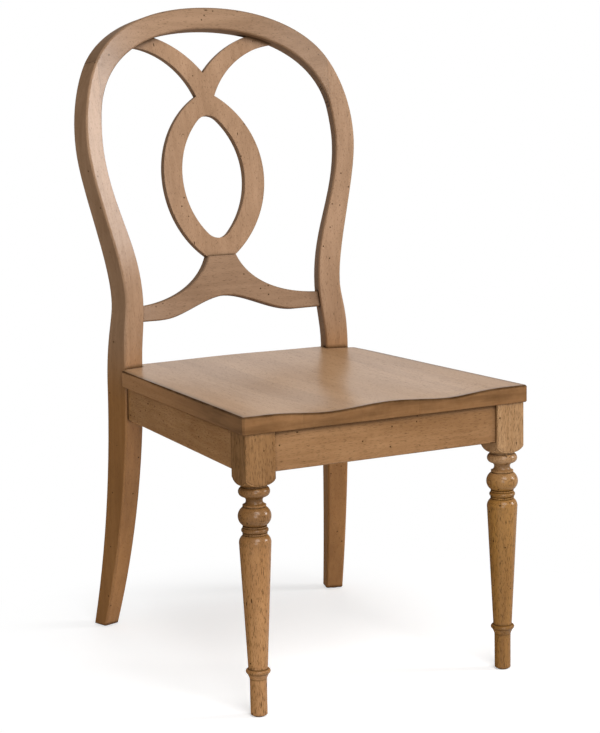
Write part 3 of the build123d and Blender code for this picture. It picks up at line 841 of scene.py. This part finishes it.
def line_between(start: Point, end: Point, count: int) -> np.ndarray:
    """Straight run of a turning, with its points closer together at its ends.

    Args:
        start: Radius and height where the run begins.
        end: Radius and height where it ends.
        count: Number of points, the start left out.

    Returns:
        Radii and heights, count by 2: half of 1 less cos t of the way, with t even from 0 to pi.
    """
    shares = (1 - np.cos(np.linspace(0.0, math.pi, count + 1)[1:])) / 2
    return np.array(start) + shares[:, None] * (np.array(end) - np.array(start))


@dataclass(frozen=True)
class Round:
    """One round of a turning: its length, its radius at the middle and its radius at the lower end."""

    length: float
    middle: float
    end: float


@dataclass
class Turning:
    """The profile of a turned piece, cut from the top down as stretches of radii and heights.

    Each round has arc_points points, and a step goes steepness times as far in or out as down.
    """

    stretches: List[np.ndarray]
    arc_points: int
    steepness: float

    def last(self) -> np.ndarray:
        """The lowest point so far."""
        return self.stretches[-1][-1]

    def straight(self, length: float) -> None:
        """Keeps the radius for a length."""
        self.stretches.append(self.last()[None] - (0.0, length))

    def step(self, change: float) -> None:
        """Changes the radius over a short slope."""
        self.stretches.append(self.last()[None] + (change, -abs(change) / self.steepness))

    def ring(self, length: float, height: float) -> None:
        """Cuts a thin ring that stands proud of what is above and below it.

        Args:
            length: Its length along the axis.
            height: How far it stands proud.
        """
        self.step(height)
        self.straight(length)
        self.step(-height)

    def round(self, shape: Round) -> None:
        """Cuts a round."""
        end = (shape.end, self.last()[1] - shape.length)
        self.stretches.append(round_through(self.last(), shape.middle, end, self.arc_points))

    def line(self, end: Point, count: int) -> None:
        """Cuts a straight run to a radius and a height, in so many points."""
        self.stretches.append(line_between(self.last(), end, count))

    def from_below(self) -> np.ndarray:
        """All points, from the lowest up."""
        return np.concatenate(self.stretches)[::-1]


@dataclass
class FrontLeg:
    """A front leg: a square block whose foot is turned away, over a bead, cove, bulb, cup and taper."""

    node: str
    block: float = 0.050
    block_length: float = 0.0815
    block_easing: float = 0.0012
    shoulder_length: float = 0.012
    shoulder_fullness: float = 0.75
    neck: float = 0.0203
    fillet: float = 0.0020
    fillet_step: float = 0.0016
    step_steepness: float = 3.0
    top_bead: Round = Round(0.0150, 0.02425, 0.0190)
    cove: Round = Round(0.0130, 0.0128, 0.0180)
    collar: float = 0.0026
    collar_step: float = 0.0012
    bulb: Round = Round(0.0292, 0.0255, 0.0170)
    small_bead: Round = Round(0.0076, 0.0208, 0.0174)
    cup: Round = Round(0.0146, 0.0236, 0.0245)
    taper_radius: float = 0.0150
    ring: Round = Round(0.0066, 0.0190, 0.0172)
    ogee: Round = Round(0.0089, 0.0148, 0.0132)
    foot_length: float = 0.057
    foot_radius: float = 0.0130
    foot_easing: float = 0.0015
    groove_reach: float = 0.0012
    groove_gain: float = 1.6
    crease: float = math.radians(38)
    face_places: int = 17
    corner_places: int = 7
    arc_points: int = 18
    taper_points: int = 30
    foot_points: int = 20
    easing_points: int = 5
    shoulder_points: int = 16
    side_points: int = 5

    def profile(self) -> np.ndarray:
        """Radii and heights of the turning from the foot to the block.

        Returns:
            Points by 2: arcs for the rounds, with straight fillets, taper and foot between them.
        """
        low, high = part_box(self.node)
        top = np.array([(self.neck, high.z - self.block_length)])
        cut = Turning([top], self.arc_points, self.step_steepness)
        cut.straight(self.fillet)
        cut.step(-self.fillet_step)
        cut.round(self.top_bead)
        cut.round(self.cove)
        cut.straight(self.collar)
        cut.step(-self.collar_step)
        cut.round(self.bulb)
        cut.ring(self.fillet, self.fillet_step)
        cut.round(self.small_bead)
        cut.ring(self.fillet, self.fillet_step)
        cut.round(self.cup)
        ring_top = low.z + self.foot_length + self.ring.length + self.ogee.length
        cut.line((self.taper_radius, ring_top), self.taper_points)
        cut.round(self.ring)
        cut.round(self.ogee)
        cut.line((self.foot_radius, low.z + self.foot_easing), self.foot_points)
        turns = np.linspace(0.0, math.pi / 2, self.easing_points + 1)[1:]
        rim = np.array((self.foot_radius - self.foot_easing, low.z + self.foot_easing))
        cut.stretches.append(rim + self.foot_easing * np.stack([np.cos(turns), -np.sin(turns)], axis=-1))
        return cut.from_below()

    def grooves(self, profile: np.ndarray) -> np.ndarray:
        """How deep each row lies in a groove, where the glaze stays.

        Args:
            profile: Radii and heights from the foot up.

        Returns:
            One value per row: the profile's inward turn at each point, spread along it as a bell.
        """
        runs = np.diff(profile, axis=0)
        headings = np.unwrap(np.arctan2(runs[:, 1], runs[:, 0]))
        inward = np.clip(-self.groove_gain * np.diff(headings), 0.0, 1.0)
        travel = np.concatenate([[0.0], np.cumsum(np.hypot(*runs.T))])
        gaps = travel[:, None] - travel[None, 1:-1]
        return (inward[None] * np.exp(-((gaps / self.groove_reach) ** 2))).max(axis=1)

    def square(self) -> np.ndarray:
        """The block's section: four sides joined by quarter rounds.

        Returns:
            Places by 2, anticlockwise, about the leg's axis.
        """
        half = self.block / 2
        inner = half - self.block_easing
        side = np.linspace(-inner, inner, self.face_places)[1:-1]
        turns = np.linspace(0.0, math.pi / 2, self.corner_places)
        face = np.stack([np.full_like(side, half), side], axis=-1)
        corner = inner + self.block_easing * np.stack([np.cos(turns), np.sin(turns)], axis=-1)
        quarter = np.concatenate([face, corner])
        spin = np.array([[0.0, 1.0], [-1.0, 0.0]])
        return np.concatenate([quarter @ np.linalg.matrix_power(spin, turn) for turn in range(4)])

    def shoulder(self) -> np.ndarray:
        """Radii and heights of the block: the turned shoulder, then the straight sides above it.

        Returns:
            Points by 2: an arc from the neck out to the corners, then a line up to the top.
        """
        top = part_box(self.node)[1].z
        level = top - self.block_length
        corner = self.block / math.sqrt(2)
        middle = self.neck + self.shoulder_fullness * (corner - self.neck)
        end = (corner, level + self.shoulder_length)
        arc = round_through((self.neck, level), middle, end, self.shoulder_points)
        return np.concatenate([arc, np.linspace(end, (corner, top), self.side_points + 1)[1:]])

    def surface(self) -> Tuple[np.ndarray, np.ndarray]:
        """All rows of the leg: each row is the smaller of the turned circle and the block's square.

        Returns:
            Rows by places by 3, and how deep each row lies in a groove.
        """
        low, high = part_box(self.node)
        square = self.square()
        reach = np.hypot(square[:, 0], square[:, 1])
        profile = np.concatenate([self.profile(), self.shoulder()])
        radius = np.minimum(profile[:, :1], reach[None])
        flat = (square / reach[:, None])[None] * radius[..., None]
        flat = flat + np.array([(low.x + high.x) / 2, (low.y + high.y) / 2])
        heights = np.broadcast_to(profile[:, 1:], radius.shape)
        return np.concatenate([flat, heights[..., None]], axis=-1), self.grooves(profile)

    def build(self, material: bpy.types.Material) -> bpy.types.Object:
        """Makes the leg and lets it stand for its node.

        Args:
            material: The leg's finish.

        Returns:
            The leg.
        """
        points, grooves = self.surface()
        piece = grid_piece(f"{self.node}_turned", points, grooves, material, self.crease)
        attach(piece, "root")
        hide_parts(self.node)
        log.info("turned %s", piece.name)
        return piece


@dataclass
class Back:
    """The back: two posts, the crest arch with its tenons, the looped splat and the lower rail."""

    light: Colour = (0.425, 0.260, 0.155)
    dark: Colour = (0.262, 0.149, 0.079)
    # Painted sheen: the back is tinted warmer and darker low down, so its upper part stays paler, like
    # light gleaming on it.
    low_tint: Colour = (0.95, 0.74, 0.43)
    # The right post's lower part is tinted lighter than the left's: painted light over the seat's shadow
    # on it.
    right_low_tint_painted_light: Colour = (1.05, 0.82, 0.47)
    low_span: Span = (0.54, 0.40)
    # Painted shade on the sideways faces of the back's pieces.
    side_shade: float = 0.26
    # How much the edges are lightened: worn stain and painted highlight.
    edge_wear_and_highlight: float = 0.25

    def dress(self) -> None:
        """Gives each piece wood with its own tone, direction of fibres and width of edge, worn and
        painted with a highlight.
        """
        for node, tone, grain, shift, edge in (
            ("left_back_post", 1.02, Grain.UPRIGHT, (0.31, 0.0, 0.2), 0.0045),
            ("right_back_post", 1.02, Grain.UPRIGHT, (0.07, 0.4, 0.0), 0.0045),
            ("crest_arch", 0.83, Grain.ACROSS, (0.5, 0.1, 0.3), 0.0045),
            ("crest_tenons", 0.83, Grain.ACROSS, (0.5, 0.1, 0.3), 0.0010),
            ("back_splat", 0.97, Grain.UPRIGHT, (0.9, 0.3, 0.1), 0.0025),
            ("lower_back_rail", 0.74, Grain.ACROSS, (0.2, 0.8, 0.4), 0.0030),
        ):
            finish = StainedWood(
                f"{node}_wood",
                self.light,
                self.dark,
                grain,
                shift,
                grey(tone),
                edges=Edges(radius=edge, wear_and_highlight=self.edge_wear_and_highlight),
                # The right post gets the lighter low tint: painted light over the seat's shadow.
                low_tint=self.right_low_tint_painted_light if node == "right_back_post" else self.low_tint,
                low_span=self.low_span,
                side_shade=self.side_shade,
            )
            dress(node, finish.material())


@dataclass
class Seat:
    """The saddled seat of five boards."""

    boards: Tuple[str, ...] = ("far_left", "left", "centre", "right", "far_right")
    light: Colour = (0.440, 0.260, 0.136)
    dark: Colour = (0.305, 0.165, 0.075)
    tone_swing: float = 0.03
    tone_turn: float = 2.4
    tone_start: float = 0.5
    pattern_shift: Triple = (0.17, 0.29, 0.41)
    # Seat edges: slightly lightened as worn stain and painted highlight, with a faint line of glaze and
    # painted shade.
    edges: Edges = Edges(radius=0.0012, wear_and_highlight=0.1, glaze=0.25)
    lacquer: Lacquer = Lacquer(weight=0.56, roughness=0.30, side_loss=0.0)
    marks: AgeMarks = AgeMarks(depth=0.475)
    rim: SeatRim = SeatRim()

    def dress(self) -> None:
        """Gives each board its own tone and stretch of grain."""
        for place, board in enumerate(self.boards):
            tone = 1.0 + self.tone_swing * math.cos(self.tone_turn * place + self.tone_start)
            finish = StainedWood(
                f"seat_wood_{board}",
                self.light,
                self.dark,
                Grain.FRONT_TO_BACK,
                tuple(part * place for part in self.pattern_shift),
                grey(tone),
                edges=self.edges,
                lacquer=self.lacquer,
                marks=self.marks,
                rim=self.rim,
            )
            dress(f"seat_board_{board}", finish.material())


@dataclass
class SeatFrame:
    """The aprons and front legs that carry the seat, with the corner blocks inside and the glides."""

    light: Colour = (0.405, 0.210, 0.084)
    dark: Colour = (0.228, 0.102, 0.030)
    blotch: float = 0.45
    marks: AgeMarks = AgeMarks(share=0.37)
    apron_pores: Pores = Pores(depth=0.5712, share=0.58)
    # Aprons: a band of painted shade under the seat and beside the legs, with glaze in the corners.
    apron_crease_glaze_and_shade: CreaseGlazeAndShade = CreaseGlazeAndShade(depth=0.95, reach=0.010)
    apron_lacquer: Lacquer = Lacquer(weight=0.35, roughness=0.19)
    leg_pores: Pores = Pores(depth=0.84, share=0.565, dashes=Streaks(1350.0, along=0.075))
    # Legs: a thin line of painted shade where the block meets the seat and the aprons, with glaze in the
    # turned grooves.
    leg_crease_glaze_and_shade: CreaseGlazeAndShade = CreaseGlazeAndShade(depth=0.95, reach=0.0015)
    leg_lacquer: Lacquer = Lacquer(weight=0.55, roughness=0.19)
    block_light: Colour = (0.46, 0.31, 0.17)
    block_dark: Colour = (0.34, 0.21, 0.10)

    def dress(self) -> None:
        """Turns the legs and gives every piece its wood or plastic."""
        self._dress_aprons()
        for side, end in itertools.product(("left", "right"), ("front", "rear")):
            node = f"{side}_{end}_corner_block"
            finish = RawWood(f"{node}_wood", self.block_light, self.block_dark, Grain.ACROSS)
            dress(node, finish.material())
        self._turn_legs()
        dress("foot_glides", MouldedGlide("glide_plastic").material())

    def _dress_aprons(self) -> None:
        """Gives each apron its own tone, direction of fibres and stretch of grain."""
        for node, tone, grain, shift in (
            ("front_apron", (0.81, 0.83, 0.92), Grain.ACROSS, (0.1, 0.2, 0.6)),
            ("rear_apron", (0.90, 0.90, 0.90), Grain.ACROSS, (0.4, 0.6, 0.1)),
            ("left_apron", (1.08, 1.08, 1.10), Grain.FRONT_TO_BACK, (0.3, 0.1, 0.2)),
            ("right_apron", (0.90, 0.90, 0.90), Grain.FRONT_TO_BACK, (0.8, 0.5, 0.7)),
        ):
            finish = StainedWood(
                f"{node}_wood",
                self.light,
                self.dark,
                grain,
                shift,
                tone,
                pores=self.apron_pores,
                marks=self.marks,
                crease_glaze_and_shade=self.apron_crease_glaze_and_shade,
                lacquer=self.apron_lacquer,
                blotch=self.blotch,
            )
            dress(node, finish.material())

    def _turn_legs(self) -> None:
        """Turns each front leg, with a tone for its block and a tint for what is below."""
        for node, tone, low_tint, low_span, shift in (
            ("left_front_leg", (0.76, 0.75, 0.70), (1.50, 1.50, 1.55), (0.30, 0.25), (0.0, 0.3, 0.5)),
            ("right_front_leg", (1.07, 1.20, 1.44), (0.80, 0.68, 0.38), (0.35, 0.30), (0.6, 0.0, 0.3)),
        ):
            finish = StainedWood(
                f"{node}_wood",
                self.light,
                self.dark,
                Grain.UPRIGHT,
                shift,
                tone,
                pores=self.leg_pores,
                marks=self.marks,
                crease_glaze_and_shade=self.leg_crease_glaze_and_shade,
                lacquer=self.leg_lacquer,
                blotch=self.blotch,
                low_tint=low_tint,
                low_span=low_span,
            )
            FrontLeg(node).build(finish.material())


@dataclass(frozen=True)
class Lamp:
    """A square soft light."""

    name: str
    place: Triple
    power: float
    size: float

    def hang(self, target: Triple) -> None:
        """Hangs the light.

        Args:
            target: The place that it looks at.
        """
        light = bpy.data.lights.new(self.name, "AREA")
        light.energy = self.power
        light.size = self.size
        lamp = bpy.data.objects.new(self.name, light)
        lamp.location = self.place
        sight = Vector(target) - Vector(self.place)
        lamp.rotation_euler = sight.to_track_quat("-Z", "Y").to_euler()
        bpy.context.scene.collection.objects.link(lamp)


@dataclass
class Studio:
    """Floor, soft light and the photograph's camera."""

    position: Triple = (-1.54049, -2.92032, 1.00964)
    azimuth: float = math.radians(-28.165)
    elevation: float = math.radians(9.144)
    roll: float = math.radians(-1.106)
    focal_pixels: float = 1994.18
    picture_height: float = 733.0
    sensor: float = 36.0
    far_limit: float = 50.0
    target: Triple = (0.0, 0.0, 0.55)
    lamps: Tuple[Lamp, ...] = (
        Lamp("key_light", (-0.30, -2.8, 3.04), 80.0, 2.0),
        Lamp("front_light", (-1.2, -3.3, 1.0), 22.0, 1.1),
        Lamp("side_light", (2.55, -1.45, 1.5), 40.0, 0.80),
        Lamp("back_light", (1.2, 3.2, 2.4), 14.0, 2.0),
    )
    sky_light: float = 0.35
    floor_half: float = 12.0
    floor_bounce: float = 0.75
    floor_shade: float = 0.90
    floor_glow: float = 0.33
    far_glow: float = 1.0
    shadow_centre: Triple = (0.0, -0.06, 0.0)
    shadow_reach: Span = (0.22, 0.66)

    def build(self) -> None:
        """Makes the camera, the world, the lights and the floor."""
        self._camera()
        self._world()
        for lamp in self.lamps:
            lamp.hang(self.target)
        self._floor()

    def _camera(self) -> None:
        """Stands the camera at the fitted place; roll turns its right side towards its up."""
        back = Vector(
            (
                math.sin(self.azimuth) * math.cos(self.elevation),
                -math.cos(self.azimuth) * math.cos(self.elevation),
                math.sin(self.elevation),
            )
        )
        level = Vector((0, 0, 1)).cross(back).normalized()
        steep = back.cross(level)
        right = level * math.cos(self.roll) + steep * math.sin(self.roll)
        up = steep * math.cos(self.roll) - level * math.sin(self.roll)
        lens = bpy.data.cameras.new("camera")
        lens.sensor_fit = "AUTO"
        lens.sensor_width = self.sensor
        lens.lens = self.focal_pixels * self.sensor / self.picture_height
        lens.clip_end = self.far_limit
        camera = bpy.data.objects.new("camera", lens)
        turn = Matrix((right, up, back)).transposed().to_4x4()
        camera.matrix_world = Matrix.Translation(self.position) @ turn
        bpy.context.scene.collection.objects.link(camera)
        bpy.context.scene.camera = camera

    def _seen(self, graph: Graph) -> Link:
        """Sorts the rays that look at a surface from the rays that light things.

        Args:
            graph: The nodes of the floor or the world.

        Returns:
            1 for rays of the camera and of mirrors and glass, 0 for the others.
        """
        kinds = ("Is Camera Ray", "Is Glossy Ray", "Is Transmission Ray")
        camera, glossy, through = (graph.node("ShaderNodeLightPath", output=kind) for kind in kinds)
        return camera.largest(glossy).largest(through)

    def _world(self) -> None:
        """Makes the world white where it is seen, and a plain level of white light."""
        world = bpy.data.worlds.new("studio")
        bpy.context.scene.world = world
        world.use_nodes = True
        graph = Graph(world.node_tree)
        strength = self.sky_light + (1.0 - self.sky_light) * self._seen(graph)
        inputs = {"Color": rgba(WHITE), "Strength": strength}
        sky = graph.node("ShaderNodeBackground", None, inputs)
        graph.node("ShaderNodeOutputWorld", None, {"Surface": sky})

    def _floor(self) -> None:
        """Lays a level square floor under the chair."""
        half = self.floor_half
        corners = [(-half, -half, 0), (half, -half, 0), (half, half, 0), (-half, half, 0)]
        mesh = bpy.data.meshes.new("floor")
        mesh.from_pydata(corners, [], [(0, 1, 2, 3)])
        mesh.materials.append(self._floor_paint())
        floor = bpy.data.objects.new("floor", mesh)
        bpy.context.scene.collection.objects.link(floor)

    def _floor_paint(self) -> bpy.types.Material:
        """Paints the floor white, with a pale shadow that fades out round the chair.

        Returns:
            A material that glows white where it is seen, and throws back plain light elsewhere.
        """
        made, graph = new_material("white_floor")
        plain, pale = (
            graph.node("ShaderNodeBsdfDiffuse", None, {"Color": rgba(grey(level))})
            for level in (self.floor_bounce, self.floor_shade)
        )
        glow, white = (
            graph.node("ShaderNodeEmission", None, {"Color": rgba(WHITE), "Strength": strength})
            for strength in (self.floor_glow, self.far_glow)
        )
        near = graph.node("ShaderNodeAddShader", None, {0: pale, 1: glow})
        settings = {"operation": "DISTANCE"}
        inputs = {0: graph.place(), 1: self.shadow_centre}
        span = graph.node("ShaderNodeVectorMath", settings, inputs, output="Value")
        faded = span.step(*self.shadow_reach)
        shown = graph.node("ShaderNodeMixShader", None, {0: faded, 1: near, 2: white})
        surface = graph.node("ShaderNodeMixShader", None, {0: self._seen(graph), 1: plain, 2: shown})
        graph.node("ShaderNodeOutputMaterial", None, {"Surface": surface})
        return made


def main() -> None:
    """Builds the chair's finishes and the studio."""
    Back().dress()
    Seat().dress()
    SeatFrame().dress()
    Studio().build()
    bpy.context.scene.view_settings.view_transform = "Standard"


if __name__ == "__main__":
    main()
